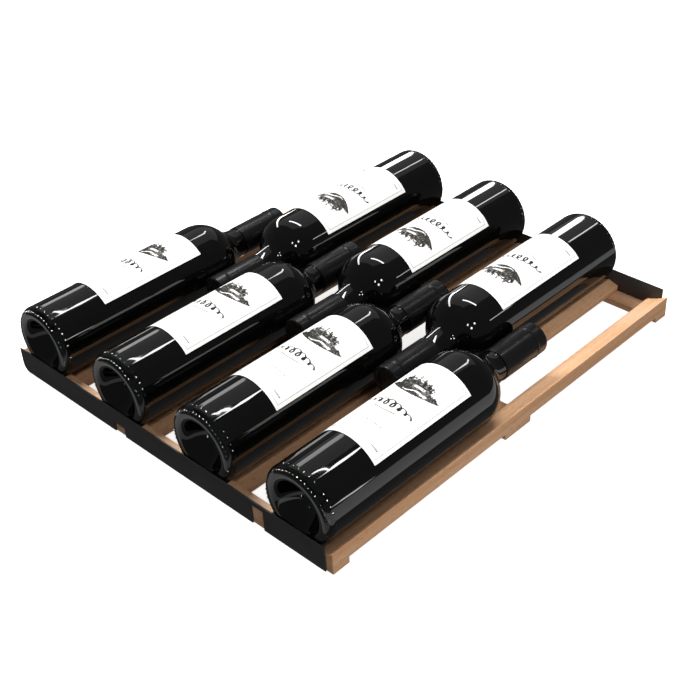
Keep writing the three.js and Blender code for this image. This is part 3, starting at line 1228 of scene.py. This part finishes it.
ALONG_X = (1, 0, 0)
ALONG_Y = (0, 1, 0)
MIDDLE = (0, 0, 0)
ABOVE_FRONT = (-0.05, -0.29, 1)
ABOVE_RIGHT = (0.62, 0.1, 1)
STRIP_REACH = 1.2  # metres from a surface to the strip that it reflects
FRONT_STRIPS = (
    # lit part, roll and distance at each end, width in metres, brightness, name
    ("glass", (25, 24), (26, 57), 0.10, 24, "main_strip"),
    ("glass", (17, 12), (25, 22), 0.008, 30, "heel_strip"),
    ("glass", (-4, 12), (-4, 57), 0.24, 3, "left_band"),
    ("glass", (63, 12), (65, 46), 0.045, 8, "right_line"),
    ("glass", (16, 186), (12, 203), 0.06, 14, "shoulder_strip"),
    ("foil", (24, 251), (24, 264), 0.08, 40, "capsule_glint"),
    ("mould_marks", (10, 6), (28, 12), 0.5, 500, "mould_sparkle"),
)
REAR_STRIPS = (
    ("glass", (-2, 11), (-2, 58), 0.34, 14, "left_band"),
    ("glass", (22, 12), (22, 56), 0.05, 12, "thin_line"),
    ("glass", (4, 206), (24, 202), 0.09, 26, "shoulder_streak"),
    ("glass", (-6, 217), (-19, 197), 0.07, 16, "shoulder_curve"),
    ("glass", (43, 214), (45, 215), 0.10, 30, "upper_dot"),
    ("glass", (47, 218), (49, 219), 0.10, 34, "lower_dot"),
    ("glass", (39, 219), (41, 220), 0.08, 26, "far_dot"),
    ("glass", (53, 191), (52, 197), 0.08, 8, "shoulder_glow"),
    ("foil", (24, 251), (24, 264), 0.08, 40, "capsule_glint"),
    ("mould_marks", (10, 6), (28, 12), 0.5, 90, "mould_sparkle"),
)


FRONTS = tuple(f"{bottle}_glass" for bottle in BOTTLES if bottle.startswith("front"))
RIGHTMOST = ("front_bottle_4_glass", "rear_bottle_3_glass")
LABEL_LAYERS = ("_label_paper", "_label_wash", "_label_print")
MARKS = ("_mould_marks",)
# Soft lights and cards beside the strips. Each reaches only the pieces whose names end so.
# A gloss shows only as a reflection, and a key only lights.
CARDS = (
    # name, place, aim, long side, size, power, endings, is a gloss
    ("rail_key", (0.1, 0.3, 1.7), (0.1, 0.1, 0), ALONG_Y, (1, 0.6), 26, ("rail_eased",), False),
    ("wood_sheen", (-1.5, 1.6, 1.4), MIDDLE, ALONG_Y, (1.8, 1.8), 80, ("_eased",), True),
    ("satin_sheen", (-0.9, 0.5, 1.5), MIDDLE, ALONG_Y, (0.8, 0.35), 9, ("_foil", "_coated"), True),
    ("soft_ceiling", (-1.0, 1.1, 1.7), MIDDLE, ALONG_Y, (2.4, 2.4), 6, ("_glass",), True),
    ("label_key", (1.0, -0.1, 1.5), MIDDLE, ALONG_Y, (1, 1), 20, LABEL_LAYERS, False),
    ("front_sparkle", (0.2, -1.2, 0.75), (0, -0.2, 0.05), ALONG_Y, (0.2, 0.2), 60, MARKS, True),
    ("right_card", (0.62, 0.1, 0.004), ABOVE_RIGHT, ALONG_Y, (1.4, 0.7), 2.8, RIGHTMOST, True),
    ("front_card", (-0.05, -0.29, 0.002), ABOVE_FRONT, ALONG_X, (0.8, 0.04), 0.045, FRONTS, True),
    ("rear_card", (0, 2.6, 0.2), (0, 0, 0.2), ALONG_X, (5, 5), 45, ("_turned",), True),
)


class WINESHELF_OT_hang_lights(bpy.types.Operator):
    """Hangs the softboxes, and the strips and cards that the pieces reflect"""

    bl_idname = "wineshelf.hang_lights"
    bl_label = "Hang the lights"

    def execute(self, context):
        studio = context.scene.shelf_studio
        softboxes = (
            ("left_key", (-1.15, 0.15, 1.5), studio.left_key),
            ("right_key", (1.2, 0.1, 1.35), studio.right_key),
            ("right_fill", (1.9, -0.4, 0.16), studio.right_fill),
        )
        for name, location, power in softboxes:
            key = hang(name, location, (0, 0, 0.05), ALONG_Y, (1.1, 0.9), power)
            key.visible_glossy = False
        for bottle in BOTTLES:
            for strip in FRONT_STRIPS if bottle.startswith("front") else REAR_STRIPS:
                reflected_strip(bottle, *strip)
        for name, location, aim, along, size, power, endings, is_gloss in CARDS:
            light = hang(name, location, aim, along, size, power)
            reach_only(light, [one for one in bpy.data.objects if one.name.endswith(endings)])
            light.visible_diffuse = not is_gloss
            light.visible_glossy = is_gloss
        return {"FINISHED"}


# ------------------------------------------------------------------ panel and registration


class WINESHELF_PT_panel(bpy.types.Panel):
    """Lists the steps that build the shelf's looks"""

    bl_idname = "WINESHELF_PT_panel"
    bl_label = "Wine Shelf"
    bl_space_type = "VIEW_3D"
    bl_region_type = "UI"
    bl_category = "Wine Shelf"

    def draw(self, context):
        scene = context.scene
        for settings in (scene.shelf_bottles, scene.shelf_finish, scene.shelf_studio):
            box = self.layout.box()
            for name in settings.bl_rna.properties.keys():
                if name not in ("rna_type", "name"):
                    box.prop(settings, name)
        for step in STEPS:
            self.layout.operator(step.bl_idname)


SETTINGS = {
    "shelf_bottles": BottleSettings,
    "shelf_finish": FinishSettings,
    "shelf_studio": StudioSettings,
}
STEPS = (
    WINESHELF_OT_set_stage,
    WINESHELF_OT_mill_wood,
    WINESHELF_OT_fold_metal,
    WINESHELF_OT_drive_screws,
    WINESHELF_OT_blow_bottles,
    WINESHELF_OT_shrink_capsules,
    WINESHELF_OT_paste_labels,
    WINESHELF_OT_hang_lights,
)


def register():
    for kind in (*SETTINGS.values(), *STEPS, WINESHELF_PT_panel):
        bpy.utils.register_class(kind)
    for name, kind in SETTINGS.items():
        setattr(bpy.types.Scene, name, PointerProperty(type=kind))


def unregister():
    for name in SETTINGS:
        delattr(bpy.types.Scene, name)
    for kind in reversed((*SETTINGS.values(), *STEPS, WINESHELF_PT_panel)):
        bpy.utils.unregister_class(kind)


def main():
    register()
    for step in STEPS:
        family, action = step.bl_idname.split(".")
        getattr(getattr(bpy.ops, family), action)()


if __name__ == "__main__":
    main()
